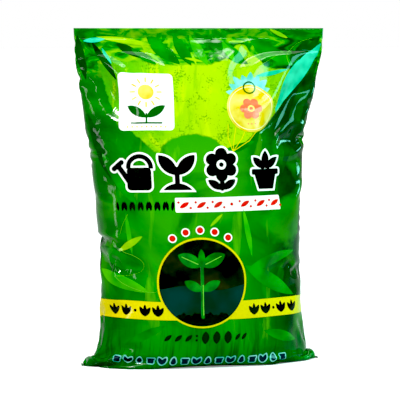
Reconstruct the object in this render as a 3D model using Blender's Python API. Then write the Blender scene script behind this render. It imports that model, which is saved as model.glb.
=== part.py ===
"""A sealed pillow bag of compost, standing on its base.

The bag is one tube of printed plastic film, heat-sealed flat across the top and the bottom and
filled with loose compost. Standing up, the fill spreads the film into a body with a flat base. The
bottom seal lies folded beneath the base, and its two ends stick out at the sides as ears. It can't
be seen into, so film and fill are one solid. Metres, +Z up, the front faces -Y.
"""

import math

import bmesh
import bpy
import numpy as np

# Driving dimensions
FLAT_WIDTH = 0.274  # film tube pressed flat, and so the length of the top seal
STANDING_HEIGHT = 0.362
BODY_WIDTH = 0.218  # across the waist of the filled body
BODY_DEPTH = 0.116  # front to back at the same height
EAR_SPAN = 0.254  # tip to tip of the ears, at floor level
BASE_DEPTH = 0.098
SEAL_HEIGHT = 0.010  # width of the heat-sealed strip
SEAL_THICKNESS = 0.0008  # two layers of film welded together
GROOVE_WIDTH = 0.003  # crease in the base above the folded bottom seal
GROOVE_DEPTH = 0.0015

# Mesh fineness
POINTS_AROUND = 56  # must be even, so that a point lies on each side fold
STEP_HEIGHT = 0.013  # most height between two sections
ARC_SAMPLES = 720

# Each section is a superellipse: height, half width, half depth, and its exponent. An exponent of 2
# is an ellipse, more is squarer, and less draws the sides out into a fold.
SEAL_FOOT = STANDING_HEIGHT - SEAL_HEIGHT
SECTIONS = (
    (0.000, EAR_SPAN / 2, BASE_DEPTH / 2, 1.75),
    (0.005, EAR_SPAN / 2 - 0.005, BASE_DEPTH / 2 + 0.003, 1.80),
    (0.016, BODY_WIDTH / 2 + 0.006, BODY_DEPTH / 2 - 0.003, 2.00),
    (0.050, BODY_WIDTH / 2 + 0.002, BODY_DEPTH / 2, 2.20),
    (0.110, BODY_WIDTH / 2, BODY_DEPTH / 2, 2.30),
    (0.170, BODY_WIDTH / 2 + 0.004, BODY_DEPTH / 2 - 0.001, 2.25),
    (0.230, BODY_WIDTH / 2 + 0.010, BODY_DEPTH / 2 - 0.007, 2.10),
    (0.280, BODY_WIDTH / 2 + 0.018, BODY_DEPTH / 2 - 0.022, 1.95),
    (0.320, BODY_WIDTH / 2 + 0.024, 0.0180, 1.85),
    (0.342, FLAT_WIDTH / 2 - 0.0015, 0.0055, 1.80),
    (SEAL_FOOT, FLAT_WIDTH / 2 - 0.0005, SEAL_THICKNESS / 2, 3.00),
    (STANDING_HEIGHT, FLAT_WIDTH / 2, SEAL_THICKNESS / 2, 3.00),
)


def smooth_between(before, start, end, after, t):
    """One point of a Catmull-Rom curve through four rows of numbers."""
    return 0.5 * (
        2 * start
        + (end - before) * t
        + (2 * before - 5 * start + 4 * end - after) * t**2
        + (3 * start - before - 3 * end + after) * t**3
    )


def sections_with_steps():
    """The section rows with smooth in-between rows, apart from the flat top seal."""
    rows = np.array(SECTIONS)
    filled = []
    for i in range(len(rows) - 2):
        before, after = rows[max(i - 1, 0)], rows[i + 2]
        steps = max(1, math.ceil((rows[i + 1][0] - rows[i][0]) / STEP_HEIGHT))
        for k in range(steps):
            row = smooth_between(before, rows[i], rows[i + 1], after, k / steps)
            row[0] = rows[i][0] + (rows[i + 1][0] - rows[i][0]) * k / steps
            filled.append(row)
    return filled + [rows[-2], rows[-1]]


def ring(height, half_width, half_depth, exponent):
    """Points evenly spaced along one section, counter-clockwise from the fold at +X."""
    angle = np.linspace(0, 2 * math.pi, ARC_SAMPLES + 1)
    cosine, sine = np.cos(angle), np.sin(angle)
    x = half_width * np.sign(cosine) * np.abs(cosine) ** (2 / exponent)
    y = half_depth * np.sign(sine) * np.abs(sine) ** (2 / exponent)
    run = np.concatenate([[0], np.cumsum(np.hypot(np.diff(x), np.diff(y)))])
    stops = np.linspace(0, run[-1], POINTS_AROUND, endpoint=False)
    return [(px, py, height) for px, py in zip(np.interp(stops, run, x), np.interp(stops, run, y))]


def base_rings():
    """The underside, from the root of the seal's crease out to the crease's edge."""
    tip = EAR_SPAN / 2
    return [
        ring(GROOVE_DEPTH, tip - 0.006, GROOVE_WIDTH / 8, 3),
        ring(0, tip - 0.004, GROOVE_WIDTH / 2, 3),
    ]


def add_ring(mesh, points):
    return [mesh.verts.new(p) for p in points]


def join_rings(mesh, lower, upper):
    for i in range(POINTS_AROUND):
        j = (i + 1) % POINTS_AROUND
        mesh.faces.new((lower[i], lower[j], upper[j], upper[i]))


def close_ring(mesh, verts, facing_up):
    """A ladder of quads from the front half of a ring across to its back half."""
    half = POINTS_AROUND // 2
    for i in range(half):
        corners = [verts[i], verts[i + 1], verts[-i - 1], verts[-i]]
        unique = list(dict.fromkeys(corners))
        mesh.faces.new(unique if facing_up else unique[::-1])


def printed_film():
    """Glossy green film, the colour of the bag's ground print."""
    material = bpy.data.materials.new("printed_film")
    material.use_nodes = True
    shader = material.node_tree.nodes["Principled BSDF"]
    shader.inputs["Base Color"].default_value = (0.02, 0.35, 0.01, 1)
    shader.inputs["Roughness"].default_value = 0.25
    shader.inputs["Metallic"].default_value = 0.0
    return material


def compost_bag(collection):
    mesh = bmesh.new()
    rings = [add_ring(mesh, points) for points in base_rings()]
    rings += [add_ring(mesh, ring(*row)) for row in sections_with_steps()]
    for lower, upper in zip(rings, rings[1:]):
        join_rings(mesh, lower, upper)
    close_ring(mesh, rings[0], facing_up=False)
    close_ring(mesh, rings[-1], facing_up=True)
    bmesh.ops.recalc_face_normals(mesh, faces=mesh.faces)
    data = bpy.data.meshes.new("compost_bag")
    mesh.to_mesh(data)
    mesh.free()
    data.shade_smooth()
    data.set_sharp_from_angle(angle=math.radians(35))
    data.materials.append(printed_film())
    bag = bpy.data.objects.new("compost_bag", data)
    collection.objects.link(bag)
    return bag


def main():
    for old in list(bpy.data.objects):
        bpy.data.objects.remove(old)
    collection = bpy.data.collections.new("compost_bag")
    bpy.context.scene.collection.children.link(collection)
    compost_bag(collection)


main()
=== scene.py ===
import math
import time

import bpy
import numpy as np
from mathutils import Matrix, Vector


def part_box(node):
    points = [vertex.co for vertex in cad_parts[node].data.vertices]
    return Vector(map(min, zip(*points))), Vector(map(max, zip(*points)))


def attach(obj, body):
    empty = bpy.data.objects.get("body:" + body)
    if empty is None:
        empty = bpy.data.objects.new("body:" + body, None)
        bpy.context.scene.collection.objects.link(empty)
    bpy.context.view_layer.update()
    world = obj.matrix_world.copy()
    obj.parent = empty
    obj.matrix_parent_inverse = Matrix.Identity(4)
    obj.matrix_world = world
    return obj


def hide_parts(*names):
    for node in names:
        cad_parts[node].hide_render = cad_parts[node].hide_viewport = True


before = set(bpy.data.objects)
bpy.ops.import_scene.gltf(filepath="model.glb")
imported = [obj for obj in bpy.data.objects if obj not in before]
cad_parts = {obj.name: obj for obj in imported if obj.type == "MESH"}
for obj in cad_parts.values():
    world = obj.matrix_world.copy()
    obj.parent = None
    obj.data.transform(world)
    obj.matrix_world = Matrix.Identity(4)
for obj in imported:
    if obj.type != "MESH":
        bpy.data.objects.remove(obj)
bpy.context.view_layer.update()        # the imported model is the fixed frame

cadLow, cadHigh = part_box("compost_bag")
started = time.time()
mm = 0.001


def linear(hexColour):  # sRGB hex to the linear values that shaders take
    parts = [int(hexColour[i:i + 2], 16) / 255 for i in (1, 3, 5)]
    parts = [c / 12.92 if c <= 0.04045 else ((c + 0.055) / 1.055) ** 2.4 for c in parts]
    return (*parts, 1.0)


def addNode(tree, kind, links=None, stops=None, points=None, **settings):
    node = tree.nodes.new("ShaderNode" + kind)
    for key, value in settings.items():
        setattr(node, key, value)
    for socket, value in (links or {}).items():  # a node, (node, output) or a plain value
        target = node.inputs[socket]
        if isinstance(value, tuple) and hasattr(value[0], "outputs"):
            tree.links.new(value[0].outputs[value[1]], target)
        elif hasattr(value, "outputs"):
            tree.links.new(value.outputs[0], target)
        else:
            target.default_value = value
    for i, (place, colour) in enumerate(stops or ()):  # colours along a ramp
        ramp = node.color_ramp.elements
        stop = ramp[i] if i < len(ramp) else ramp.new(place)
        stop.position, stop.color = place, linear(colour)
    for i, (x, y) in enumerate(points or ()):  # the line of a curve
        line = node.mapping.curves[0].points
        if i < 2:
            line[i].location = (x, y)
        else:
            line.new(x, y)
    if points:
        node.mapping.update()
    return node


def newMaterial(name):
    material = bpy.data.materials.new(name)
    material.use_nodes = True
    material.node_tree.nodes.clear()
    return material, material.node_tree


def newPiece(name, points, faces, material):
    mesh = bpy.data.meshes.new(name)
    mesh.from_pydata(np.asarray(points).tolist(), [], np.asarray(faces).tolist())
    mesh.polygons.foreach_set("use_smooth", [True] * len(mesh.polygons))
    mesh.materials.append(material)
    piece = bpy.data.objects.new(name, mesh)
    bpy.context.scene.collection.objects.link(piece)
    return piece


def say(stage):
    print(f"[{time.time() - started:5.1f} s] {stage}")


film = {
    "flatWidth": cadHigh[0] - cadLow[0],  # the tube pressed flat
    "height": cadHigh[2],
    "sealHeight": 10 * mm,
    "sealHalfThickness": 0.35 * mm,
    "waistWidth": 218 * mm,
    "waistDepth": 116 * mm,
    "earSpan": 260 * mm,
    "baseDepth": 98 * mm,
    "sealWave": 0.9 * mm,
    "headerEase": 0.8,         # 1 lets the film under the seal bend as gently as it can
    "slack": 0.985,            # under 1 pulls the front tighter
    "lumpHeight": 1.3 * mm,    # how uneven the compost is
    "lumpWaves": 26,
    "lumpSize": (28, 85),      # mm
    "standOff": 4 * mm,        # how far the film may lift off the compost
    "fillTop": 0.350,          # where the last of the compost ends
    "firmTop": 0.328,          # above this the film can press the compost in
    "inset": 0.7 * mm,         # the compost's surface lies this far inside the outline
    "push": 0.5,               # the share of a gap that the compost makes up in one step
    "draw": 0.06,              # and that its weight does
    "longestMove": 2 * mm,
    "header": (0.285, 0.351),  # from and to what height it is smoothed
    "waveFrom": 0.325,
    "foldRoom": {"reach": 13 * mm, "fade": 4 * mm, "height": 0.8 * mm},  # for the bottom seal
    "headerSteps": 70,
    # how far the bag leans to its right at each height, because nothing holds it straight
    "lean": ((0.0, 0.5), (0.02, 2.8), (0.04, 3.6), (0.07, 1.8), (0.13, 0.0),
             (0.15, -1.0), (0.22, -2.7), (0.30, -1.2), (0.345, 0.0)),
    "seed": 3,
    # columns, rows, steps and bending of each pass, coarse to fine
    "passes": ((96, 70, 260, 0.01), (192, 140, 160, 0.02), (384, 256, 90, 0.03)),
    "quickPasses": ((96, 70, 160, 0.01), (192, 140, 60, 0.02)),
}

# hollows in the compost where the film falls into folds: from x, z to x, z, side (-1 front,
# 1 back, 0 both), reach across the fold and depth, all in mm
hollows = (
    (92, 243, 125, 243, 0, 10, 7),      # notch under the right shoulder
    (-96, 136, -125, 136, 0, 5, 4),     # notch low on the left side
    (-104, 112, -78, 108, -1, 10, 6),   # dent beside the window
    (131, 344, 78, 258, -1, 12, 9),     # long folds down from the corners of the top seal
    (-118, 338, -90, 276, -1, 9, 6),
    (120, 300, 96, 236, -1, 6, 3),
    (130, 340, 88, 268, 1, 9, 5),
    (-118, 336, -80, 262, 1, 9, 6),
    (112, 96, 76, 112, -1, 8, 3),
    (-108, 60, -80, 76, -1, 8, 3),
)


def sectionTable():  # height, half width, half depth, superellipse power
    w, d = film["waistWidth"] / 2, film["waistDepth"] / 2
    ear, base = film["earSpan"] / 2, film["baseDepth"] / 2
    flat = film["flatWidth"] / 2
    seal = film["sealHalfThickness"]
    rows = np.array([
        (0.0000, ear, base, 1.75),
        (0.0050, ear - 0.005, base + 0.003, 1.80),
        (0.0160, w + 0.006, d - 0.003, 2.00),
        (0.0500, w + 0.002, d, 2.20),
        (0.1100, w + 0.0015, d, 2.30),
        (0.1500, w + 0.0035, d, 2.28),
        (0.1900, w + 0.005, d - 0.003, 2.20),
        (0.2300, w + 0.010, d - 0.007, 2.10),
        (0.2800, w + 0.018, d - 0.022, 1.95),
        (0.3200, w + 0.024, 0.0180, 1.85),
        (0.3420, flat - 0.0015, 0.0055, 1.80),
        (film["height"] - film["sealHeight"], flat - 0.0005, seal, 2.50),
    ])
    smooth = []
    last = len(rows) - 1
    for i in range(last):
        a, b, c, d4 = rows[max(i - 1, 0)], rows[i], rows[i + 1], rows[min(i + 2, last)]
        for t in np.arange(12) / 12:
            smooth.append(0.5 * (2 * b + (c - a) * t + (2 * a - 5 * b + 4 * c - d4) * t ** 2
                                 + (3 * b - a - 3 * c + d4) * t ** 3))
    smooth.append(rows[-1])
    smooth.append((film["height"], flat, seal, 2.5))
    return np.array(smooth)


def ringOf(section, count):  # even spacing around, from the side fold at +X, over the back
    height, a, b, power = section
    t = np.linspace(0, 2 * math.pi, 721)
    x = a * np.sign(np.cos(t)) * np.abs(np.cos(t)) ** (2 / power)
    y = b * np.sign(np.sin(t)) * np.abs(np.sin(t)) ** (2 / power)
    run = np.concatenate([[0], np.cumsum(np.hypot(np.diff(x), np.diff(y)))])
    stops = np.linspace(0, run[-1], count, endpoint=False)
    return np.stack([np.interp(stops, run, x), np.interp(stops, run, y), np.full(count, height)], 1)


def frontLength():  # the film's length from the bottom seal, under the base and up the front
    body = sectionTable()
    run = np.concatenate([[0], np.cumsum(np.hypot(np.diff(body[:, 2]), np.diff(body[:, 0])))])
    return run + film["baseDepth"] / 2, body


def startShape(nUp, nAround):
    run, body = frontLength()
    flatHeight = run[-1]
    stops = np.linspace(0, flatHeight, nUp)
    middle = np.interp(stops, run, body[:, 0])
    seal = film["sealHeight"]
    side = np.where(stops < flatHeight - seal,
                    stops * (film["height"] - seal) / (flatHeight - seal), middle)
    under = np.clip(stops / (film["baseDepth"] / 2), 0, 1)
    rings = np.stack([ringOf(row, nAround) for row in body])
    toSide = (np.abs(rings[0, :, 0]) / rings[0, :, 0].max()) ** 6
    grid = np.zeros((nUp, nAround, 3))
    for c in range(nAround):
        z = middle + (side - middle) * toSide[c]
        grid[:, c, 0] = np.interp(z, body[:, 0], rings[:, c, 0])
        grid[:, c, 1] = np.interp(z, body[:, 0], rings[:, c, 1])
        grid[:, c, 1] *= under + (1 - under) * toSide[c]
        grid[:, c, 2] = z
    return grid, flatHeight


def resample(grid, nUp, nAround):  # open up the height, closed around
    m, n = grid.shape[:2]
    rowAt, colAt = np.linspace(0, m - 1, nUp), np.arange(nAround) * n / nAround
    r0 = np.minimum(rowAt.astype(int), m - 2)
    c0 = colAt.astype(int) % n
    c1 = (c0 + 1) % n
    fr, fc = (rowAt - r0)[:, None, None], (colAt - colAt.astype(int))[None, :, None]
    lower = grid[r0][:, c0] * (1 - fc) + grid[r0][:, c1] * fc
    upper = grid[r0 + 1][:, c0] * (1 - fc) + grid[r0 + 1][:, c1] * fc
    return lower * (1 - fr) + upper * fr


def softNoise(shape, cells, seed):
    small = np.random.default_rng(seed).normal(size=(cells[0] + 3, cells[1], 1))
    for _ in range(3):
        small = resample(small, small.shape[0] * 2, small.shape[1] * 2)
        small = 0.5 * small + 0.25 * (np.roll(small, 1, 1) + np.roll(small, -1, 1))
        small[1:-1] = 0.5 * small[1:-1] + 0.25 * (small[:-2] + small[2:])
    return resample(small, *shape)[:, :, 0]


def fillLumps(p, seed):  # the compost's own unevenness, as a sum of long waves
    chance = np.random.default_rng(seed)
    total = np.zeros(len(p))
    for _ in range(film["lumpWaves"]):
        way = chance.normal(size=3)
        wave = chance.uniform(*film["lumpSize"]) * mm
        phase = chance.uniform(0, 2 * math.pi)
        along = p @ (way / np.linalg.norm(way))
        total += np.sin(along * 2 * math.pi / wave + phase) * (wave / 0.05) ** 0.8
    return total / math.sqrt(film["lumpWaves"] / 2)


def fixLengths(a, b, rest, share=1.0):  # film doesn't stretch, so each pair goes back to its length
    step = b - a
    length = np.sqrt(np.einsum("ijk,ijk->ij", step, step))
    step *= (0.5 * share * (1 - rest / np.maximum(length, 1e-9)))[..., None]
    a += step
    b -= step


def keepLengths(g, across, up):
    fixLengths(g[:, 0:-1:2], g[:, 1::2], across)
    fixLengths(g[:, 1:-1:2], g[:, 2::2], across)
    fixLengths(g[:, -1:], g[:, :1], across)
    slant, share = math.hypot(across, up), 0.3
    for first in (0, 1):
        a, b = g[first:-1:2], g[first + 1::2]
        k = min(len(a), len(b))
        a, b = a[:k], b[:k]
        fixLengths(a, b, up)
        fixLengths(a[:, :-1], b[:, 1:], slant, share)
        fixLengths(a[:, -1:], b[:, :1], slant, share)
        fixLengths(a[:, 1:], b[:, :-1], slant, share)
        fixLengths(a[:, :1], b[:, -1:], slant, share)


def unbend(g, share):  # film is a little stiff, so the finest ripples go
    bend = 0.5 * (np.roll(g, 1, 1) + np.roll(g, -1, 1)) - g
    bend[1:-1] += 0.5 * (g[:-2] + g[2:]) - g[1:-1]
    change = 0.5 * (np.roll(bend, 1, 1) + np.roll(bend, -1, 1)) - bend
    change[1:-1] += 0.5 * (bend[:-2] + bend[2:]) - bend[1:-1]
    g -= share * change


def fillHollows(p):
    depth = np.zeros(len(p))
    for x0, z0, x1, z1, side, reach, deep in np.array(hollows) * (mm, mm, mm, mm, 1, mm, mm):
        start, way = np.array((x0, z0)), np.array((x1 - x0, z1 - z0))
        off = p[:, ::2] - start
        along = np.clip(off @ way / (way @ way), 0, 1)
        here = np.exp(-(np.linalg.norm(off - along[:, None] * way, axis=1) / reach) ** 2)
        depth += deep * (here * (p[:, 1] * side > 0) if side else here)
    return depth


def restOnFill(p, body, unevenness):  # the compost holds the film out, and its weight draws it in
    x, y, z = p[:, 0], p[:, 1], p[:, 2]
    inset, push, longest = film["inset"], film["push"], film["longestMove"]
    a = np.interp(z, body[:, 0], body[:, 1]) - inset
    b = np.maximum(np.interp(z, body[:, 0], body[:, 2]) - inset, 0.6 * mm)
    power = np.interp(z, body[:, 0], body[:, 3])
    ax, by = np.abs(x) / a, np.abs(y) / b
    out = np.maximum((ax ** power + by ** power) ** (1 / power), 1e-4)
    gx = out ** (1 - power) * ax ** (power - 1) / a * np.sign(x)
    gy = out ** (1 - power) * by ** (power - 1) / b * np.sign(y)
    slope = np.hypot(gx, gy) + 1e-6
    away = (out - 1) / slope - unevenness
    full = np.clip((film["fillTop"] - z) / 0.08, 0.0, 1) * np.clip((z - 2 * mm) / (6 * mm), 0, 1)
    room = film["standOff"] + 12 * mm * (1 - full) ** 2
    firm = np.clip((film["firmTop"] - z) / 0.03, 0, 1) * np.clip((z - mm) / (2 * mm), 0, 1)
    move = np.where(away < 0, -push * away * firm, -film["draw"] * full * away)
    move = np.clip(np.where(away > room, push * (room - away), move), -longest, longest)
    p[:, 0] += move * gx / slope
    p[:, 1] += move * gy / slope
    halfSpan, halfDepth = film["earSpan"] / 2 - 10 * mm, film["baseDepth"] / 2 - 3 * mm
    under = ((x / halfSpan) ** 2 + (y / halfDepth) ** 2 < 1) & (z < 12 * mm)
    p[:, 2] -= np.where(under, 0.4 * z, 0)  # the weight presses the base flat


def roughen(grid, seed):  # a little unevenness for the folds to start from
    x, z = grid[:, :, 0], grid[:, :, 2]
    free = np.clip(z / 0.04, 0, 1) * np.clip((film["fillTop"] - z) / 0.03, 0, 1)
    nearSide = (np.abs(x) / 0.12) ** 3
    pushes = ((1, 1.2, (12, 20), 1), (0, 2.5, (16, 12), nearSide), (2, 1.0, (18, 30), 1))
    for draw, (axis, height, cells, share) in enumerate(pushes):
        noise = softNoise(grid.shape[:2], cells, seed + draw)
        grid[:, :, axis] += height * mm * noise * free * share


def clearBottomSeal(grid):  # leaves room for the seal that lies folded under the base
    room = film["foldRoom"]
    under = np.clip((room["reach"] - np.abs(grid[:, :, 1])) / room["fade"], 0, 1)
    grid[:, :, 2] = np.maximum(grid[:, :, 2], under * room["height"])


def easeHeader(grid):  # little compost reaches the header, so its film bends gently
    x, z = grid[:, :, 0], grid[:, :, 2]
    eased = grid[:, :, 1].copy()
    for _ in range(film["headerSteps"]):
        eased[1:-1] += 0.25 * (eased[:-2] - 2 * eased[1:-1] + eased[2:])
    low, high = film["header"]
    header = np.clip((z - low) / 0.02, 0, 1) * np.clip((high - z) / 0.006, 0, 1)
    grid[:, :, 1] += film["headerEase"] * header * (eased - grid[:, :, 1])
    free = np.clip((z - film["waveFrom"]) / 0.035, 0, 1)  # nothing holds the top seal flat
    grid[:, :, 1] += film["sealWave"] * free * (np.sin(x / 0.033 + 0.6) + 0.6 * np.sin(x / 0.017))


def settleFilm():
    body = sectionTable()
    passes = film["passes"]
    for number, (around, up, steps, stiffness) in enumerate(passes):
        start, flatHeight = startShape(up, around)
        flatHeight *= film["slack"]
        grid = resample(grid, up, around) if number else start.copy()
        acrossGap, upGap = 2 * film["flatWidth"] / around, flatHeight / (up - 1)
        sealFoot = up - 1 - int(round(film["sealHeight"] / flatHeight * (up - 1)))
        col = np.arange(around)
        front, back = col > around // 2, (col > 0) & (col < around // 2)
        if number == 0:
            roughen(grid, film["seed"])
        flat = grid.reshape(-1, 3)
        for step in range(steps):
            keepLengths(grid, acrossGap, upGap)
            keepLengths(grid, acrossGap, upGap)
            unbend(grid, stiffness)
            if step % 8 == 0:  # the compost's surface changes slowly, so it is worked out now and then
                z = flat[:, 2]
                uneven = film["lumpHeight"] * fillLumps(flat, film["seed"]) - fillHollows(flat)
                uneven *= np.clip(z / 0.03, 0, 1) * np.clip((0.348 - z) / 0.05, 0, 1)
            restOnFill(flat, body, uneven)
            grid[:, front, 1] = np.minimum(grid[:, front, 1], -film["sealHalfThickness"])
            grid[:, back, 1] = np.maximum(grid[:, back, 1], film["sealHalfThickness"])
            np.maximum(grid[:, :, 2], 0, out=grid[:, :, 2])
            grid[sealFoot:] = start[sealFoot:]
            grid[0, :, 1] = start[0, :, 1]
            grid[0, :, 2] = 0
        say(f"film settled on a grid of {around} x {up}")
    clearBottomSeal(grid)
    easeHeader(grid)
    heights, shifts = np.array(film["lean"]).T
    grid[:, :, 0] += np.interp(grid[:, :, 2], heights, shifts * mm)
    return grid, flatHeight


grid, flatHeight = settleFilm()
rows, cols = grid.shape[:2]

half = cols // 2
index = np.arange(rows * cols).reshape(rows, cols)
right = np.roll(index, -1, 1)
filmFaces = np.stack([index[:-1], right[:-1], right[1:], index[1:]], 2).reshape(-1, 4)
near, far = index[:, 1:half], index[:, :half:-1]  # the back's columns and the front's, face to face
for row, order in ((rows - 1, 1), (0, -1)):  # both ends of the tube are shut
    strip = np.stack([near[row, :-1], near[row, 1:], far[row, 1:], far[row, :-1]], 1)[:, ::order]
    filmFaces = np.concatenate([filmFaces, strip])


def mapFilm(mesh):  # a flat map in tenths of a metre: across from the middle, down from the top
    layer = mesh.uv_layers.new(name="flatFilm")
    r, c = np.divmod(filmFaces, cols)
    closing = c[:, 0] == cols - 1
    c = np.where(closing[:, None] & (c == 0), cols, c)  # the column that closes the loop
    across = (c - c.min(1, keepdims=True) // half * half) / half - 0.5
    end = (rows - 1) * cols
    across[end:] = np.where(c[end:] > half, c[end:] / half - 1.5, 0.5 - c[end:] / half)
    down = (1 - r / (rows - 1)) * flatHeight
    uv = np.stack([across * film["flatWidth"], down], 2) * 10
    layer.data.foreach_set("uv", uv.reshape(-1).astype(np.float32))


normals = np.cross(np.roll(grid, -1, 1) - np.roll(grid, 1, 1), np.gradient(grid, axis=0))
normals /= np.maximum(np.linalg.norm(normals, axis=2, keepdims=True), 1e-12)


def onFilm(across, down, lift, back=False):  # a place on the flat film to its point on the bag
    column = (across / film["flatWidth"] + (0.5 if back else 1.5)) * half % cols
    row = np.clip((1 - down / flatHeight) * (rows - 1), 0, rows - 1.001)
    c0, r0 = column.astype(int) % cols, row.astype(int)
    fc, fr = (column % 1)[:, None], (row % 1)[:, None]
    c1, r1 = (c0 + 1) % cols, r0 + 1

    def mix(field):
        low = field[r0, c0] * (1 - fc) + field[r0, c1] * fc
        return low * (1 - fr) + (field[r1, c0] * (1 - fc) + field[r1, c1] * fc) * fr

    return mix(grid) + mix(normals) * lift


# the film: low-density polythene, blown smooth, gravure printed and packed under slight tension, so
# it gives sharp reflections that break up along fine crinkles
finish = {
    "gloss": {"Roughness": 0.11, "IOR": 1.51, "Specular IOR Level": 0.3},
    "dimple": 17 * mm,   # the broadest crinkles that handling leaves; finer ones follow from it
    "crease": 31 * mm,   # between sharp creases
    "patch": 71 * mm,    # of film that is more creased than its neighbours
    "depth": 0.6 * mm,
    "strength": 0.26,
}


def filmBump(tree, height=None):
    place = addNode(tree, "TexCoord")
    broad = addNode(tree, "TexNoise", {"Vector": (place, "Object"), "Scale": 1 / finish["dimple"],
                                       "Detail": 3.0, "Roughness": 0.55, "Distortion": 0.6})
    bent = addNode(tree, "MixRGB", {"Fac": 0.02, "Color1": (place, "Object"), "Color2": (broad, "Color")},
                   blend_type="LINEAR_LIGHT")
    cells = addNode(tree, "TexVoronoi", {"Vector": bent, "Scale": 1 / finish["crease"]},
                    feature="DISTANCE_TO_EDGE")
    crease = addNode(tree, "MapRange", {"Value": cells, "From Max": 0.09, "To Min": 0.35, "To Max": 0.0})
    patch = addNode(tree, "TexNoise", {"Vector": (place, "Object"), "Scale": 1 / finish["patch"],
                                       "Detail": 1.0})
    where = addNode(tree, "MapRange", {"Value": patch, "From Min": 0.48, "From Max": 0.62})
    creases = addNode(tree, "Math", {0: crease, 1: where}, operation="MULTIPLY")
    total = addNode(tree, "Math", {0: broad, 1: creases}, operation="ADD")
    if height:
        total = addNode(tree, "Math", {0: total, 1: height}, operation="ADD")
    return addNode(tree, "Bump", {"Height": total, "Strength": finish["strength"],
                                  "Distance": finish["depth"]})


# the printed ground; places and sizes are in tenths of a metre on the flat film
ground = {
    "column": (  # down the middle, as a share of the height: bright green that deepens to the foot, and near black from 0.88 on as painted shade where the film turns under the base
        (0.0, "#128a0c"), (1.0, "#001204"), (0.20, "#1a8506"), (0.33, "#389a04"), (0.46, "#309602"),
        (0.62, "#1a8c02"), (0.76, "#0b8a0a"), (0.82, "#0a8616"), (0.88, "#066c14"), (0.92, "#023c0d")),
    "flanks": (  # across the width
        (0.0, "#0a6b0a"), (1.0, "#04440a"), (0.10, "#026602"), (0.35, "#037402"), (0.70, "#02520a"),
        (0.85, "#003403")),
    "lime": (
        (0.0, "#3f9f06"), (1.0, "#5aa808"), (0.14, "#5cb307"), (0.30, "#86c409"), (0.50, "#a8cb0b"),
        (0.70, "#9ac70b"), (0.85, "#7cba09")),
    "header": (  # from shade to sun
        (0.30, "#053a06"), (0.74, "#98c80a"), (0.40, "#0a680a"), (0.48, "#148c0a"), (0.54, "#36a20c"),
        (0.61, "#70b80a")),
    "limeLeft": ((0.0, -1.12), (0.45, -1.12), (0.64, -1.08), (1.03, -0.92), (1.41, -0.52), (1.6, -0.3)),
    "limeRight": ((0.0, 1.36), (0.21, 1.34), (0.57, 1.15), (0.98, 0.85), (1.40, 0.30), (1.6, 0.1)),
    "limeTop": ((-1.4, 0.40), (-0.74, 0.40), (-0.05, 0.43), (0.24, 0.37), (0.42, 0.19), (0.60, 0.33),
                (0.72, 0.46), (1.4, 0.30)),
    "limeFoot": ((-1.4, 1.50), (-0.56, 1.46), (-0.42, 1.30), (-0.33, 1.25), (0.10, 1.28), (0.20, 1.40),
                 (0.32, 1.46), (1.4, 1.50)),
    "sunAcross": ((0.0, 0.40), (1.0, 0.42), (0.12, 0.50), (0.30, 0.60), (0.55, 0.50), (0.75, 0.46),
                  (0.88, 0.36)),
    "bright": "#34a004", "dark": "#014d05", "streak": "#6cc404", "blade": "#03420c",
    "pressed": "#127d0a", "ear": "#0a8420",
    "sunRay": "#c8dc0c", "leafShade": "#5cab08", "speckle": "#4f9408",
    "cloudSize": 0.67, "streakSize": (0.16, 0.78), "bladeSize": (0.05, 0.65), "leafSize": (0.26, 0.13),
    "raySize": (0.23, 0.62), "clusterSize": 0.22, "speckleSize": 0.022, "wander": 0.11,
    # where each colour takes over along its pattern, and up to what share
    "brightCover": (0.50, 0.66, 0.55), "darkCover": (0.47, 0.34, 0.6), "streakCover": (0.58, 0.70, 0.45),
    "bladeCover": (0.48, 0.62, 0.85), "rayCover": (0.54, 0.66, 0.7), "leafCover": (0.45, 0.34, 0.6),
    "speckleCover": (1.10, 1.20, 0.8),
    # and where each takes over across or down the film
    "middle": -0.12, "columnEdge": (0.98, 0.30), "streakEdge": (1.0, 0.7), "earEdge": (1.02, 1.24),
    "footEdge": (3.3, 3.9), "grassEdge": (3.1, 3.6), "headerEdge": (0.62, 0.40, 0.95),
    "sealEdge": (0.115, 0.095, 0.45), "limeEdge": (-0.01, 0.01),
}


def paintOver(tree, base, colour, cover, start, end, most=1.0):
    # the colour takes over from the base while cover goes from start to end
    share = addNode(tree, "MapRange", {"Value": cover, "From Min": start, "From Max": end,
                                       "To Max": most})
    return addNode(tree, "MixRGB", {"Fac": share, "Color1": base, "Color2": colour})


def colourAlong(tree, value, low, high, stops):
    place = addNode(tree, "MapRange", {"Value": value, "From Min": low, "From Max": high})
    return addNode(tree, "ValToRGB", {"Fac": place}, stops=stops)


def patches(tree, flat, size, turn=0.0, **settings):  # a patchy pattern of the given width and height
    wide, tall = size
    turned = addNode(tree, "Mapping", {"Vector": flat, "Scale": (1 / wide, 1 / tall, 1.0),
                                       "Rotation": (0, 0, turn)})
    return addNode(tree, "TexNoise", {"Vector": turned, "Scale": 1.0, **settings})


def boundary(tree, value, low, high, line):  # a line drawn through points, between -2 and 3
    placed = [((x - low) / (high - low), (y + 2) / 5) for x, y in line]
    place = addNode(tree, "MapRange", {"Value": value, "From Min": low, "From Max": high})
    curve = addNode(tree, "FloatCurve", {"Value": place}, points=[placed[0], placed[-1], *placed[1:-1]])
    return addNode(tree, "MapRange", {"Value": curve, "To Min": -2.0, "To Max": 3.0})


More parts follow.
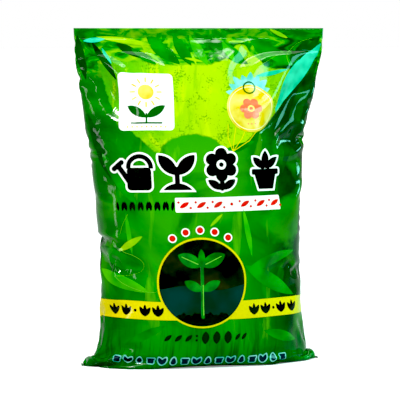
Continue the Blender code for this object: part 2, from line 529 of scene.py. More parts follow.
def limeCover(tree, across, down):  # the distance inside the lime field's four edges
    inside = None
    for edge, along, low, high, place, side in (
            ("limeLeft", down, 0.0, 1.6, across, 1), ("limeRight", down, 0.0, 1.6, across, -1),
            ("limeTop", across, -1.4, 1.4, down, 1), ("limeFoot", across, -1.4, 1.4, down, -1)):
        line = boundary(tree, along, low, high, ground[edge])
        first, second = (place, line) if side > 0 else (line, place)
        gap = addNode(tree, "Math", {0: first, 1: second}, operation="SUBTRACT")
        inside = addNode(tree, "Math", {0: inside, 1: gap}, operation="MINIMUM") if inside else gap
    return inside


def limeTone(tree, flat, across):  # sunlit leaves, out of focus, with clusters of fine speckle
    tone = colourAlong(tree, across, -1.1, 1.1, ground["lime"])
    rays = patches(tree, flat, ground["raySize"], 0.25, Detail=5.0, Roughness=0.6, Distortion=0.8)
    tone = paintOver(tree, tone, linear(ground["sunRay"]), rays, *ground["rayCover"])
    tone = paintOver(tree, tone, linear(ground["leafShade"]), rays, *ground["leafCover"])
    cluster = patches(tree, flat, (ground["clusterSize"],) * 2, Detail=2.0)
    speck = patches(tree, flat, (ground["speckleSize"],) * 2, Detail=2.0)
    both = addNode(tree, "Math", {0: cluster, 1: speck}, operation="ADD")
    return paintOver(tree, tone, linear(ground["speckle"]), both, *ground["speckleCover"])


def headerTone(tree, flat, across):  # leaves, with more sun left of the middle
    leaves = patches(tree, flat, ground["leafSize"], -0.6, Detail=4.0, Distortion=1.6)
    place = addNode(tree, "MapRange", {"Value": across, "From Min": -1.4, "From Max": 1.4})
    sun = addNode(tree, "FloatCurve", {"Value": place}, points=ground["sunAcross"])
    sun = addNode(tree, "MapRange", {"Value": sun, "To Min": -0.4, "To Max": 0.4})
    lit = addNode(tree, "Math", {0: leaves, 1: sun}, operation="ADD")
    return addNode(tree, "ValToRGB", {"Fac": lit}, stops=ground["header"])


# the top seal's jaws leave a rib to the millimetre and a ridge at their foot, in tenths of a metre
jaws = {"ribs": 100, "foot": (0.102, 0.094), "ribHeight": 0.45, "ridge": 0.106, "ridgeReach": 0.006,
        "ridgeHeight": -1.2}


def sealRibs(tree, down):
    turn = addNode(tree, "Math", {0: down, 1: 2 * math.pi * jaws["ribs"]}, operation="MULTIPLY")
    ribs = addNode(tree, "Math", {0: turn}, operation="SINE")
    start, end = jaws["foot"]
    sealed = addNode(tree, "MapRange", {"Value": down, "From Min": start, "From Max": end,
                                        "To Max": jaws["ribHeight"]})
    press = addNode(tree, "Math", {0: ribs, 1: sealed}, operation="MULTIPLY")
    off = addNode(tree, "Math", {0: down, 1: jaws["ridge"]}, operation="SUBTRACT")
    off = addNode(tree, "Math", {0: off}, operation="ABSOLUTE")
    ridge = addNode(tree, "MapRange", {"Value": off, "From Max": jaws["ridgeReach"],
                                       "To Min": jaws["ridgeHeight"], "To Max": 0.0})
    return addNode(tree, "Math", {0: press, 1: ridge}, operation="ADD")


def printedPolythene():
    material, tree = newMaterial("gravurePrintedPolythene")
    flat = addNode(tree, "UVMap", uv_map="flatFilm")
    wander = patches(tree, flat, (ground["wander"],) * 2, Detail=4.0, Roughness=0.6)
    shifted = addNode(tree, "MixRGB", {"Fac": 0.035, "Color1": flat, "Color2": (wander, "Color")},
                      blend_type="LINEAR_LIGHT")
    place = addNode(tree, "SeparateXYZ", {"Vector": shifted})
    across, down = (place, "X"), (place, "Y")
    column = colourAlong(tree, down, 0.0, 4.2, ground["column"])
    flanks = colourAlong(tree, across, -1.37, 1.37, ground["flanks"])
    aside = addNode(tree, "Math", {0: across, 1: -ground["middle"]}, operation="ADD")
    aside = addNode(tree, "Math", {0: aside}, operation="ABSOLUTE")
    tone = paintOver(tree, flanks, column, aside, *ground["columnEdge"])
    cloud = patches(tree, flat, (ground["cloudSize"],) * 2, Detail=3.0, Distortion=1.2)
    tone = paintOver(tree, tone, linear(ground["bright"]), cloud, *ground["brightCover"])
    tone = paintOver(tree, tone, linear(ground["dark"]), cloud, *ground["darkCover"])
    streak = patches(tree, flat, ground["streakSize"], 0.12, Detail=4.0, Distortion=0.5)
    sunny = paintOver(tree, tone, linear(ground["streak"]), streak, *ground["streakCover"])
    tone = paintOver(tree, tone, sunny, aside, *ground["streakEdge"])  # the flanks have none
    # under the base the middle keeps the column's painted shade, while the ears stay green
    foot = paintOver(tree, column, linear(ground["ear"]), aside, *ground["earEdge"])  # the ears stay green
    tone = paintOver(tree, tone, foot, down, *ground["footEdge"])
    blades = patches(tree, flat, ground["bladeSize"], Detail=5.0, Roughness=0.65)  # grass at the foot
    grass = paintOver(tree, tone, linear(ground["blade"]), blades, *ground["bladeCover"])
    tone = paintOver(tree, tone, grass, down, *ground["grassEdge"])
    tone = paintOver(tree, tone, headerTone(tree, flat, across), down, *ground["headerEdge"])
    tone = paintOver(tree, tone, linear(ground["pressed"]), down, *ground["sealEdge"])
    inLime = limeCover(tree, across, down)
    tone = paintOver(tree, tone, limeTone(tree, flat, across), inLime, *ground["limeEdge"])
    still = addNode(tree, "SeparateXYZ", {"Vector": flat})
    shader = addNode(tree, "BsdfPrincipled", {"Base Color": tone, **finish["gloss"],
                                              "Normal": filmBump(tree, sealRibs(tree, (still, "Y")))})
    addNode(tree, "OutputMaterial", {"Surface": shader})
    return material


filmPiece = newPiece("film", grid.reshape(-1, 3), filmFaces, printedPolythene())
mapFilm(filmPiece.data)
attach(filmPiece, "root")
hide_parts("compost_bag")
say("film piece made")


# Each shape is a distance in mm, negative inside, from points across and down the flat front.

def ball(p, x, y, r):
    return np.hypot(p[..., 0] - x, p[..., 1] - y) - r


def stroke(p, x0, y0, x1, y1, width):  # a round-ended bar
    a, way = p - (x0, y0), np.array((x1 - x0, y1 - y0), float)
    t = np.clip(a @ way / max(way @ way, 1e-9), 0, 1)
    return np.linalg.norm(a - t[..., None] * way, axis=-1) - width / 2


def block(p, x, y, w, h, corner):
    q = np.abs(p - (x, y)) - (w / 2 - corner, h / 2 - corner)
    return np.linalg.norm(np.maximum(q, 0), axis=-1) + np.minimum(q.max(-1), 0) - corner


def leaf(p, x0, y0, x1, y1, width):  # pointed at both ends
    way = np.array((x1 - x0, y1 - y0), float)
    length = np.linalg.norm(way)
    r = (length ** 2 / 4 + width ** 2 / 4) / width
    middle, square = np.array((x0 + x1, y0 + y1)) / 2, np.array((-way[1], way[0])) / length
    one, two = middle + square * (r - width / 2), middle - square * (r - width / 2)
    return np.maximum(ball(p, *one, r), ball(p, *two, r))


def together(*shapes):
    return np.minimum.reduce(shapes)


def leafPair(p, x, y, reach, rise, width, gap=0):  # two leaves that open to the sides
    return together(*(leaf(p, x + gap * side, y, x + reach * side, y - rise, width)
                      for side in (-1, 1)))


def flowerHead(p, x, y, reach, petal, heart, hole, eye, turn=0.0):  # the sizes are radii
    petals = [ball(p, x + reach * math.cos(a), y + reach * math.sin(a), petal)
              for a in np.arange(6) * math.pi / 3 + turn]
    head = np.maximum(together(*petals, ball(p, x, y, heart)), -ball(p, x, y, hole))
    return together(head, ball(p, x, y, eye))


def printInk(name, shape, box, layer, material, cell=0.9, back=False):
    x0, y0, x1, y1 = box
    p = np.stack(np.meshgrid(np.arange(x0, x1 + cell, cell), np.arange(y0, y1 + cell, cell)), -1)
    inside = shape(p)
    corner = np.arange(inside.size).reshape(inside.shape)
    a, b, c, d = corner[:-1, :-1], corner[:-1, 1:], corner[1:, 1:], corner[1:, :-1]
    tris = np.concatenate([np.stack(t, -1).reshape(-1, 3) for t in ((a, b, c), (a, c, d))])
    p, v = p.reshape(-1, 2), inside.reshape(-1)
    count = (v[tris] < 0).sum(1)
    faces = [tris[count == 3]]
    extra = []
    for many in (1, 2):  # triangles that the outline cuts
        cut = tris[count == many]
        odd = ((v[cut] < 0) == (many == 1)).argmax(1)
        o, m, n = (cut[np.arange(len(cut)), (odd + k) % 3] for k in range(3))
        ends = []
        for other in (m, n):
            lowEnd, highEnd = np.minimum(o, other), np.maximum(o, other)
            ends.append(lowEnd.astype(np.int64) * len(p) + highEnd)
        extra.append((many, o, m, n, *ends))
    keys = np.unique(np.concatenate([np.concatenate(e[4:]) for e in extra]))
    i, j = keys // len(p), keys % len(p)
    share = (v[i] / (v[i] - v[j]))[:, None]
    points = np.concatenate([p, p[i] + (p[j] - p[i]) * share])
    for many, o, m, n, om, on in extra:
        om, on = (len(p) + np.searchsorted(keys, k) for k in (om, on))
        if many == 1:
            faces.append(np.stack([o, om, on], -1))
        else:
            faces += [np.stack([om, m, n], -1), np.stack([om, n, on], -1)]
    faces = np.concatenate(faces)
    used, faces = np.unique(faces, return_inverse=True)
    points = points[used] * mm
    solid = onFilm(points[:, 0], points[:, 1], layer * 0.11 * mm, back)
    piece = newPiece(name, solid, faces.reshape(-1, 3)[:, ::-1], material)
    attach(piece, "root")
    return piece


# solvent gravure ink, printed inside the clear outer web: each ink keeps the film's gloss and shows a
# slightly uneven laydown from its first colour to its second, as patches of this size in mm
inks = {
    "white": ("#fbfbf6", "#eef3e6", 2.5, 0.35),
    "black": ("#0a0f08", "#2a2a12", 14.0, 0.5),
    "yellow": ("#dece02", "#ccc004", 2.5, 0.35),
    "red": ("#e0261c", "#c81d18", 2.5, 0.35),
    "night": ("#0a140c", "#2a2c16", 22.0, 1.0),
    "sprout": ("#0c5a1c", "#1f8a1e", 14.0, 1.0),
    # this ink draws the seedling's printed veins and also paints the highlights along the creases
    "veinAndCreaseHighlight": ("#6cc838", "#9ade50", 5.0, 0.35),
    "shade": ("#06301f", "#083a34", 30.0, 1.0),
    "soil": ("#07150f", "#1c2a1c", 6.0, 1.0),
    "gold": ("#d8b80a", "#efe27a", 17.0, 0.9),
    "cream": ("#f4ecb0", "#fbf7d8", 2.5, 0.35),
    "coral": ("#e8683c", "#f08a6a", 8.0, 0.6),
    "deepGreen": ("#0b5a12", "#0f6a16", 2.5, 0.35),
    "footGreen": ("#01260a", "#03300c", 2.5, 0.35),
    "navy": ("#08262f", "#0c3340", 2.5, 0.35),
    "paleBlue": ("#4fb8a8", "#8fd6cc", 11.0, 0.9),
    "darkLeaf": ("#033006", "#0a5a0a", 22.0, 0.9),
    "midLeaf": ("#0a6a08", "#1a9a0a", 24.0, 0.9),
    "brightLeaf": ("#1f9a08", "#4cba08", 26.0, 0.9),
    # the lime leaf ink also paints a highlight on the dent left of the window
    "limeLeafAndPaintedHighlight": ("#6cbc0a", "#a2cc0c", 20.0, 0.9),
    # the turquoise ink also paints the reflection along the folds at both shoulders
    "turquoiseAndPaintedSheen": ("#14a878", "#3cd8b0", 18.0, 0.9),
    "weldedGreen": ("#033c0a", "#0a6a14", 11.0, 0.9),
}


def gravureInk(name):
    first, second, patch, share = inks[name]
    material, tree = newMaterial(name + "GravureInk")
    place = addNode(tree, "TexCoord")
    laydown = addNode(tree, "TexNoise", {"Vector": (place, "Object"), "Scale": 1 / (patch * mm),
                                         "Detail": 2.0})
    amount = addNode(tree, "MapRange", {"Value": laydown, "From Min": 0.35, "From Max": 0.65,
                                        "To Max": share})
    tint = addNode(tree, "MixRGB", {"Fac": amount, "Color1": linear(first), "Color2": linear(second)})
    shader = addNode(tree, "BsdfPrincipled", {"Base Color": tint, "Normal": filmBump(tree),
                                              **finish["gloss"]})
    addNode(tree, "OutputMaterial", {"Surface": shader})
    return material


ink = {name: gravureInk(name) for name in inks}

# printed leaves, darkest first, with one painted highlight among the lime ones: from x, y to x, y and
# width, in mm on the flat front
leaves = {
    "darkLeaf": (
        (-92, 17, -62, 36, 11), (-119, 14, -93, 62, 8), (-134, 6, -127, 60, 9), (96, 44, 122, 10, 9),
        (106, 44, 134, 8, 10), (133, 34, 88, 168, 15),
        (-128, 96, -104, 168, 12), (112, 196, 118, 262, 13)),
    "midLeaf": (
        (-76, 22, -50, 43, 10), (-132, 244, -73, 266, 19), (-59, 9, -24, 42, 15),
        (-30, 6, -12, 44, 12), (4, 10, 52, 42, 17),
        (52, 8, 102, 46, 17), (-112, 140, -76, 196, 14), (54, 130, 8, 146, 8), (40, 266, 100, 250, 13),
        (-96, 350, -50, 324, 9), (56, 334, 102, 350, 11), (36, 262, 100, 300, 16)),
    "brightLeaf": (
        (-12, 8, 6, 44, 11), (24, 14, 36, 40, 8), (-134, 270, -66, 290, 14), (38, 202, 45, 254, 6),
        (-88, 204, -84, 250, 5)),
    # among the lime leaves, the one from -100, 246 to -71, 229 is a painted highlight on the dent left of
    # the window
    "limeLeafAndPaintedHighlight": (
        (-114, 9, -54, 18, 7), (-66, 17, -44, 41, 5), (76, 1, 98, 11, 4), (-100, 246, -71, 229, 7),
        (-20, 34, 2, 40, 3), (-12, 26, -6, 44, 2.5), (0, 220, 15, 206, 3.5)),
}
for layer, (name, shapes) in enumerate(leaves.items()):
    printInk(name, lambda p: together(*(leaf(p, *one) for one in shapes)), (-137, 0, 137, 360),
             0.4 + 0.4 * layer, ink[name], cell=1.0)


def turquoiseLeavesAndPaintedSheen(p):  # a printed leaf beside the medal, and painted reflections drawn as leaves: a long band down the fold from the right shoulder and small highlights in the fold at the left corner
    return together(
        leaf(p, 135, 16, 82, 96, 18), leaf(p, 110, 38, 84, 98, 15), leaf(p, 96, 50, 58, 57, 5),
        leaf(p, -128, 14, -104, 12, 6), leaf(p, -108, 22, -98, 44, 4),
    )


printInk("turquoiseLeafAndPaintedSheen", turquoiseLeavesAndPaintedSheen, (-137, 4, 137, 100), 1.8, ink["turquoiseAndPaintedSheen"], cell=0.8)

# painted highlights: pale lines along creases, where folded film catches the light, drawn as thin lines
# through places in mm
paintedCreaseHighlights = {
    "pen": 0.45,
    "roundings": 3,
    "runs": (
        ((-99, 243), (-93, 247), (-82, 250), (-72, 258), (-74, 267), (-86, 273), (-106, 275)),
        ((-106, 275), (-96, 283), (-74, 290), (-52, 289), (-40, 281)),
        ((98, 46), (94, 32), (106, 16), (124, 11)), ((66, 44), (84, 34), (92, 28)),
        ((-96, 228), (-92, 216), (-86, 206)),
    ),
}


def rounded(run):  # cuts the corners off a run of places
    places = np.array(run, float)
    for _ in range(paintedCreaseHighlights["roundings"]):
        near, far = 0.75 * places[:-1] + 0.25 * places[1:], 0.25 * places[:-1] + 0.75 * places[1:]
        places = np.concatenate([places[:1], np.stack([near, far], 1).reshape(-1, 2), places[-1:]])
    return places


def paintedCreaseHighlightShape(p):
    shape = np.full(p.shape[:2], 9.0)
    for run in map(rounded, paintedCreaseHighlights["runs"]):
        for a, b in zip(run, run[1:]):
            shape = np.minimum(shape, stroke(p, *a, *b, paintedCreaseHighlights["pen"]))
    return shape


printInk("paintedCreaseHighlights", paintedCreaseHighlightShape, (-112, 8, 128, 294), 2, ink["veinAndCreaseHighlight"], cell=0.5)

# fine veins that run down to the right tip of the lime field
veins = {"tip": (28.0, 141.0), "ends": ((24, 112), (34, 108), (46, 112), (57, 118)), "pen": 0.8}


def veinLines(p):
    lines = []
    for x, y in veins["ends"]:
        middle = ((x + veins["tip"][0]) / 2 + (x - 36) * 0.22, (y + veins["tip"][1]) / 2)
        lines += [stroke(p, *veins["tip"], *middle, veins["pen"]),
                  stroke(p, *middle, x, y, veins["pen"])]
    return together(*lines)


printInk("veinInk", veinLines, (16, 104, 64, 145), 1, ink["yellow"], cell=0.5)

# the band round the foot, and the round window with its seedling
window = {"x": -10.5, "y": 279.2, "r": 48.2, "rim": 2.1, "box": (-60, 230, 41, 330)}
band = {"top": 299.0, "height": 19.4, "sag": 3.6, "box": (-138, 296, 138, 326),
        "marks": (-109, -94, -72, -58, 46, 60, 80, 95), "dots": (-83, 70)}


def bandTop(x):
    return band["top"] + band["sag"] * ((x + 10) / 125) ** 2


def bandShape(p):
    top = bandTop(p[..., 0])
    return np.maximum(top - p[..., 1], p[..., 1] - top - band["height"])


def windowDisc(p, inset=0.0):
    return ball(p, window["x"], window["y"], window["r"] - inset)


def windowGround(p, drop, *waves):  # what lies in the window below a wavy line
    line = window["y"] + drop
    for height, often, start in waves:
        line = line + height * np.sin(p[..., 0] * often + start)
    return np.maximum(windowDisc(p, window["rim"]), line - p[..., 1])


def seedling(p):  # upright, with two level pairs of leaves
    x, y = window["x"], window["y"]
    return together(stroke(p, x, y + 36, x, y - 20, 3.4), leafPair(p, x, y - 18, 25, 12, 14),
                    leafPair(p, x, y + 8, 19, 10, 10), leaf(p, x, y - 18, x, y - 36, 7))


def seedlingVeins(p):
    x, y = window["x"], window["y"]
    return together(stroke(p, x + 0.8, y + 34, x + 0.8, y + 2, 0.8),
                    *(stroke(p, x + 4 * side, y - 20, x + 21 * side, y - 28, 0.8)
                      for side in (-1, 1)))


printInk("bandInk", bandShape, band["box"], 1, ink["yellow"], cell=1.3)
printInk("windowRim", windowDisc, window["box"], 2, ink["yellow"], cell=1.2)
printInk("windowPicture", lambda p: windowDisc(p, window["rim"]), window["box"], 3, ink["night"],
         cell=1.2)
printInk("windowShade", lambda p: windowGround(p, 5, (2.5, 0.09, 1)), window["box"], 4, ink["shade"])
printInk("windowSoil", lambda p: windowGround(p, 33, (1.6, 0.45, 0), (0.9, 1.1, 1)), window["box"],
         4, ink["soil"])
printInk("seedlingInk", seedling, (-45, 236, 22, 325), 5, ink["sprout"], cell=0.8)
printInk("seedlingVeins", seedlingVeins, (-45, 236, 22, 325), 6, ink["veinAndCreaseHighlight"], cell=0.5)

# the headline: four garden pictograms in black with a white edge
headline = {"top": 139.0, "bottom": 182.0, "edge": 2.2, "pen": 5.6, "places": (-76, -32, 15, 66),
            "box": (-106, 132, 92, 190)}


def wateringCan(p, x, y):
    pen = headline["pen"]
    side = (x - 12 + (y - p[..., 1]) * 0.25) - p[..., 0]
    handle = np.abs(ball(p, x + 5, y - 4, 12.0)) - pen * 0.42
    return together(np.maximum(block(p, x + 4, y + 8, 26, 24, 4), side),
                    stroke(p, x - 6, y + 12, x - 18, y - 6, pen),
                    stroke(p, x - 23, y - 3, x - 14, y - 10, pen * 0.9),
                    np.maximum(handle, p[..., 1] - y + 3))


def sprout(p, x, y):
    mound = np.maximum(ball(p, x, y + 33, 20), p[..., 1] - y - 20)
    return together(mound, stroke(p, x, y + 16, x, y - 2, headline["pen"] * 0.9),
                    leafPair(p, x, y + 4, 19, 21, 13))


def flower(p, x, y):
    return together(flowerHead(p, x, y - 6, 11.5, 6.3, 10, 5.2, 2.4, math.pi / 6),
                    stroke(p, x, y + 10, x, y + 19, headline["pen"] * 0.9),
                    leafPair(p, x, y + 20, 15, 10, 8))


def pottedPlant(p, x, y):
    sides = np.abs(p[..., 0] - x) - (13.5 - (p[..., 1] - y - 4) * 0.28)
    return together(np.maximum(sides, block(p, x, y + 12, 40, 18, 0.5)),
                    block(p, x, y + 2.5, 33, 6, 1.5), leaf(p, x, y - 1, x, y - 20, 9),
                    leafPair(p, x, y - 1, 15, 12, 8, gap=1))


def headlineShape(p):
    y = (headline["top"] + headline["bottom"]) / 2
    signs = zip((wateringCan, sprout, flower, pottedPlant), headline["places"])
    return together(*(sign(p, x, y) for sign, x in signs))


printInk("headlineEdge", lambda p: headlineShape(p) - headline["edge"], headline["box"], 1,
         ink["white"], cell=0.8)
printInk("headlineInk", headlineShape, headline["box"], 2, ink["black"], cell=0.8)

# the badge: a plain sun over two leaves and a row of dots
badge = {"x": -62.5, "y": 85.0, "w": 59.0, "h": 64.0, "corner": 5.0, "sun": 8.5, "rays": (12, 16.5),
         "rayCount": 12, "pen": 1.6, "dots": range(-20, 21, 5)}


def badgeSun(p):
    x, y = badge["x"], badge["y"] - 10
    near, far = badge["rays"]
    turns = np.arange(badge["rayCount"]) * 2 * math.pi / badge["rayCount"]
    rays = [stroke(p, x + near * math.cos(a), y + near * math.sin(a), x + far * math.cos(a),
                   y + far * math.sin(a), badge["pen"]) for a in turns]
    return together(ball(p, x, y, badge["sun"]), *rays)


def badgeLeaves(p):
    x, y, pen = badge["x"], badge["y"], badge["pen"]
    return together(leafPair(p, x, y + 18, 20, 13, 9), stroke(p, x - 16, y + 24, x + 16, y + 24, pen),
                    stroke(p, x, y + 23, x, y + 14, pen))


def badgeDots(p):
    return together(*(ball(p, badge["x"] + x, badge["y"] + 28, 0.9) for x in badge["dots"]))


printInk("badgeInk", lambda p: block(p, badge["x"], badge["y"], badge["w"], badge["h"], badge["corner"]),
         (-95, 50, -30, 120), 1, ink["white"], cell=1.2)
printInk("badgeSun", badgeSun, (-90, 56, -36, 104), 2, ink["gold"], cell=0.7)
printInk("badgeLeaves", badgeLeaves, (-90, 84, -36, 114), 3, ink["deepGreen"], cell=0.7)
printInk("badgeDots", badgeDots, (-90, 108, -36, 118), 3, ink["gold"], cell=0.4)

# the medal: a gold disc with pale leaves behind it and a plain flower on it
medal = {"x": 50.5, "y": 93.5, "r": 27.0, "line": 2.6, "ring": 6.4, "box": (22, 64, 80, 123),
         "leaves": ((-172, 27), (-150, 26), (-128, 28), (-106, 25), (-84, 27), (-62, 26), (-40, 28),
                    (-18, 25))}  # turn in degrees and length


def medalRays(p):
    x, y = medal["x"], medal["y"] - 15
    return together(*(leaf(p, x, y, x + reach * math.cos(a), y + reach * math.sin(a), 9.5)
                      for a, reach in ((math.radians(turn), reach) for turn, reach in medal["leaves"])))


def medalDisc(p, inset=0.0):
    return ball(p, medal["x"], medal["y"], medal["r"] - inset)


def medalMark(p):  # a flower over three dots
    x, y = medal["x"], medal["y"] + 1
    return together(flowerHead(p, x, y, 8, 4.6, 7, 3.8, 2.0),
                    *(ball(p, x + k, y + 17, 0.8) for k in (-4, 0, 4)))


printInk("medalRays", medalRays, (20, 46, 82, 84), 1, ink["paleBlue"], cell=0.8)
printInk("medalRim", medalDisc, medal["box"], 2, ink["gold"], cell=1.0)
printInk("medalLine", lambda p: np.abs(medalDisc(p, medal["line"])) - 0.4, medal["box"], 3,
         ink["cream"], cell=0.6)
printInk("medalRing", lambda p: np.abs(ball(p, medal["x"], medal["y"] - 23.5, medal["ring"])) - 0.7,
         (40, 60, 62, 80), 4, ink["deepGreen"], cell=0.6)
printInk("medalMark", medalMark, (30, 76, 72, 116), 3, ink["coral"], cell=0.6)

# the white strip with red seeds, and the row of small seeds before it
redStrip = {"x": 22.5, "y": 196.4, "w": 116, "h": 15.6, "seeds": (-26, -8, 10, 40, 58, 74)}
seedRow = {"first": -96, "last": -37, "step": 4.4, "foot": 202.5, "top": 192.0, "slant": 1.4,
           "width": 3.3}


def stripMarks(p):
    y = redStrip["y"]
    marks = [ball(p, 25, y, 1.7)]
    for x in redStrip["seeds"]:
        marks += [leaf(p, x - 5, y + 3.1, x + 5, y - 2.9, 4.6), ball(p, x + 6.5, y + 3.1, 1.3),
                  ball(p, x - 6.0, y - 2.8, 1.3)]
    return together(*marks)


def smallRow(p):
    seeds = enumerate(np.arange(seedRow["first"], seedRow["last"], seedRow["step"]))
    return together(*(leaf(p, x, seedRow["foot"], x + seedRow["slant"] * (1 if k % 2 else -1),
                           seedRow["top"], seedRow["width"]) for k, x in seeds))


printInk("stripInk", lambda p: block(p, redStrip["x"], redStrip["y"], redStrip["w"], redStrip["h"], 0.6),
         (-38, 186, 83, 206), 1, ink["white"], cell=1.2)
printInk("stripMarks", stripMarks, (-36, 186, 84, 206), 2, ink["red"], cell=0.7)
printInk("smallRow", smallRow, (-100, 190, -36, 205), 1, ink["black"], cell=0.6)

# dots in an arc over the window, and the marks on the band
arc = {"r": 56.0, "dot": 3.3, "edge": 1.4, "turns": (-32, -16, 0, 16, 32), "box": (-50, 215, 30, 245)}


def arcDots(p):
    x, y, r = window["x"], window["y"], arc["r"]
    return together(*(ball(p, x + r * math.sin(a), y - r * math.cos(a), arc["dot"])
                      for a in np.radians(arc["turns"])))


def bandMarks(p):
    marks = [ball(p, x, bandTop(x) + 10, 1.6) for x in band["dots"]]
    for x in band["marks"]:
        y = bandTop(x) + band["height"] / 2
        marks += [leafPair(p, x, y + 6.2, 6, 10.2, 4.6), leaf(p, x, y + 3.5, x, y - 6.5, 3.6)]
    return together(*marks)


printInk("arcEdge", lambda p: arcDots(p) - arc["edge"], arc["box"], 1, ink["white"], cell=0.8)
printInk("arcDots", arcDots, arc["box"], 2, ink["red"], cell=0.7)
printInk("bandMarks", bandMarks, (-118, 298, 108, 326), 2, ink["black"], cell=0.7)

# under the band: three plump seeds between small ones, and a border of pots, leaf pairs and drops
footLine = {"y": 338.0, "small": (-48, -37, -26), "dots": -17.5, "plump": (-8, 4, 16), "slim": (24, 31)}
footBorder = {"y": 364.0, "first": -100, "last": 82, "count": 16, "sag": 3, "edge": 1.3,
              "box": (-108, 356, 92, 376)}


def footMarks(p):
    y = footLine["y"]
    plump = [leaf(p, x, y + 7.0, x, y - 7.0, 8.0) for x in footLine["plump"]]
    small = [leaf(p, x - 3.6, y + 3.6, x + 3.6, y - 3.6, 4.6) for x in footLine["small"]]
    slim = [leaf(p, x, y + 3.6, x + 5, y - 3.6, 3.8) for x in footLine["slim"]]
    dots = [ball(p, footLine["dots"], y + up, 1.3) for up in (2.4, -2.4)]
    return together(*plump, *small, *slim, *dots)


def footRow(p):
    marks = []
    for k, x in enumerate(np.linspace(footBorder["first"], footBorder["last"], footBorder["count"])):
        y = footBorder["y"] + footBorder["sag"] * abs((x + 9) / 95) ** 2
        marks += (
            [block(p, x, y + 1.4, 6.4, 4.6, 1.2), block(p, x, y - 2.0, 7.6, 2.2, 0.6)],
            [leafPair(p, x, y + 4, 4, 8, 4.4)],
            [ball(p, x, y + 1.2, 2.8), leaf(p, x, y + 3.6, x, y - 4.4, 4.6)],
        )[k % 3]
    return together(*marks)


printInk("footMarks", footMarks, (-56, 328, 40, 348), 1, ink["footGreen"], cell=0.6)
printInk("footRowEdge", lambda p: footRow(p) - footBorder["edge"], footBorder["box"], 1,
         ink["paleBlue"])
printInk("footRow", footRow, footBorder["box"], 2, ink["navy"], cell=0.8)

# the back: the band runs on round the bag, under a pale panel with three growing stages
panel = {"x": 0, "y": 205, "w": 168, "h": 118, "corner": 6, "soil": 232.0, "pen": 2.4, "dots": 252,
         "stages": (-52, 0, 52), "pairs": (6, 20, 34)}


def growingStages(p):
    y, pen = panel["soil"], panel["pen"]
    seed, shoot, plant = panel["stages"]
    stages = [stroke(p, x - 14, y + 4, x + 14, y + 4, pen) for x in panel["stages"]]
    stages += [leaf(p, seed - 6, y - 2, seed + 6, y - 8, 8), stroke(p, shoot, y + 4, shoot, y - 20, pen),
               leafPair(p, shoot, y - 16, 13, 12, 8), stroke(p, plant, y + 4, plant, y - 46, pen),
               leaf(p, plant, y - 42, plant, y - 60, 8)]
    stages += [leafPair(p, plant, y - up, 16, 12, 8) for up in panel["pairs"]]
    return together(*stages, *(ball(p, x, panel["dots"], 1.2) for x in range(-70, 71, 10)))


printInk("backBand", bandShape, band["box"], 1, ink["yellow"], cell=1.3, back=True)
printInk("backPanel", lambda p: block(p, panel["x"], panel["y"], panel["w"], panel["h"], panel["corner"]),
         (-88, 142, 88, 268), 1, ink["white"], cell=1.6, back=True)
printInk("backStages", growingStages, (-80, 150, 80, 262), 2, ink["deepGreen"], back=True)
say("print made")


bottomSeal = {"width": 10 * mm, "thickness": 0.5 * mm, "ripple": 0.5 * mm, "overhang": 3 * mm}


def buildBottomSeal():  # two layers of film welded flat, lying folded forward under the base
    across = grid[0, half:, 0]
    left, rightEnd = across.min() - bottomSeal["overhang"], across.max() + bottomSeal["overhang"]
    x = np.linspace(left, rightEnd, 160)
    y = np.linspace(0.6 * mm, 0.6 * mm - bottomSeal["width"], 9)
    spread = np.stack(np.meshgrid(x, y), -1)
    free = np.clip((np.abs(x - (left + rightEnd) / 2) / (rightEnd - left) * 2 - 0.93) / 0.07, 0, 1)
    lift = 0.05 * mm + free * (bottomSeal["ripple"] + bottomSeal["ripple"] * np.sin(x / mm * 1.1)) * 1.5
    lower = np.dstack([spread, np.broadcast_to(lift, spread.shape[:2])])
    upper = lower + (0, 0, bottomSeal["thickness"])
    points = np.concatenate([lower.reshape(-1, 3), upper.reshape(-1, 3)])
    n = np.arange(len(points)).reshape(2, len(y), len(x))
    quads = []
    for sheet, order in ((0, -1), (1, 1)):
        a, b, c, d = n[sheet, 1:, :-1], n[sheet, 1:, 1:], n[sheet, :-1, 1:], n[sheet, :-1, :-1]
        quads.append(np.stack([a, b, c, d], -1).reshape(-1, 4)[:, ::order])
    rim = np.concatenate([n[0, 0, :-1], n[0, :-1, -1], n[0, -1, :0:-1], n[0, :0:-1, 0]])
    after, rise = np.roll(rim, -1), len(points) // 2
    quads.append(np.stack([rim, rim + rise, after + rise, after], -1))
    piece = newPiece("bottomSeal", points, np.concatenate(quads), ink["weldedGreen"])
    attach(piece, "root")


buildBottomSeal()
say("bottom seal made")


view = {
    "azimuth": -11.5,       # degrees, towards -X
    "distance": 2.04,
    "height": 0.362,
    "lens": 170,
    "aim": (0.0, 0.0, 0.1763),
}


studio = {
    "floorReach": 30,    # metres
    "fill": 0.4,         # the white walls' light on the bag
    "backdrop": 1.0,     # and how bright they look
    "paper": "#fbfbfb", "paperReflected": "#c0c0c0", "paperGlow": 0.25,
    "blackLevel": 0.033,
    # strength, width and turn in degrees: skylight from overhead, the key high in front and left
    "suns": {"skylight": (1.75, 50, (6, 0, 0)), "key": (1.4, 5, (42, 0, -34))},
    # place, the height it aims at, size, watts and tint
    "lamps": {
        "stripLeft": ((-1.5, -0.55, 0.5), 0.18, (0.14, 1.2), 4, "#ffffff"),
        "softLeft": ((-1.1, -1.9, 1.3), 0.2, (0.3, 0.3), 3, "#ffffff"),
        "softRight": ((1.04, -1.04, 1.15), 0.28, (0.6, 0.6), 14, "#8ffff0"),
        "lowRight": ((1.5, 0.10, 0.45), 0.28, (0.4, 0.25), 6, "#8ffff0"),
        "softTop": ((0.5, -0.9, 2.2), 0.18, (0.25, 0.25), 3, "#ffffff"),
    },
}


def addLamp(name, kind, power, tint="#ffffff"):
    lamp = bpy.data.objects.new(name, bpy.data.lights.new(name, kind))
    lamp.data.energy, lamp.data.color = power, linear(tint)[:3]
    bpy.context.scene.collection.objects.link(lamp)
    return lamp


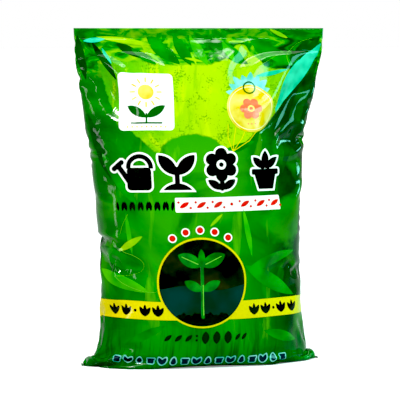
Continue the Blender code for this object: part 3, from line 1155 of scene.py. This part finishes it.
def mattPaper():  # uncoated paper: no shine, only a soft shadow, and a duller reflection in the film
    material, tree = newMaterial("mattPaperSweep")
    seen = (addNode(tree, "LightPath"), "Is Camera Ray")
    paper = addNode(tree, "MixRGB", {"Fac": seen, "Color1": linear(studio["paperReflected"]),
                                     "Color2": linear(studio["paper"])})
    glow = addNode(tree, "MapRange", {"Value": seen, "To Max": studio["paperGlow"]})
    shader = addNode(tree, "BsdfPrincipled", {"Base Color": paper, "Roughness": 0.7,
                                              "Emission Color": linear("#ffffff"),
                                              "Emission Strength": glow})
    addNode(tree, "OutputMaterial", {"Surface": shader})
    return material


def buildStage():
    far = studio["floorReach"]
    floor = newPiece("floor", [(-far, -far, 0), (far, -far, 0), (far, far, 0), (-far, far, 0)],
                     [(0, 1, 2, 3)], mattPaper())
    world = bpy.data.worlds.new("studio")
    world.use_nodes = True
    tree = world.node_tree
    tree.nodes.clear()
    seen = addNode(tree, "LightPath")
    strength = addNode(tree, "MapRange", {"Value": (seen, "Is Camera Ray"), "To Min": studio["fill"],
                                          "To Max": studio["backdrop"]})
    sky = addNode(tree, "Background", {"Color": linear("#ffffff"), "Strength": strength})
    addNode(tree, "OutputWorld", {"Surface": sky})
    bpy.context.scene.world = world
    for name, (power, width, turn) in studio["suns"].items():
        sun = addLamp(name, "SUN", power)
        sun.data.angle = math.radians(width)
        sun.rotation_euler = [math.radians(a) for a in turn]
    for name, (place, aim, size, watts, tint) in studio["lamps"].items():
        lamp = addLamp(name, "AREA", watts, tint)
        lamp.data.shape = "RECTANGLE"
        lamp.data.size, lamp.data.size_y = size
        lamp.location = place
        lamp.rotation_euler = (Vector((0, 0, aim)) - Vector(place)).to_track_quat("-Z", "Y").to_euler()
    look = bpy.context.scene.view_settings
    look.view_transform = "Standard"
    look.use_curve_mapping = True  # deepens the darkest tones, as a studio picture has them
    look.curve_mapping.black_level = (studio["blackLevel"],) * 3
    look.curve_mapping.update()


def buildCamera():
    turn = math.radians(view["azimuth"])
    camera = bpy.data.objects.new("camera", bpy.data.cameras.new("camera"))
    camera.data.lens = view["lens"]
    reach = view["distance"]
    camera.location = (math.sin(turn) * reach, -math.cos(turn) * reach, view["height"])
    toBag = Vector(view["aim"]) - camera.location
    camera.rotation_euler = toBag.to_track_quat("-Z", "Y").to_euler()
    bpy.context.scene.collection.objects.link(camera)
    bpy.context.scene.camera = camera


buildStage()
buildCamera()
say("stage and camera made")
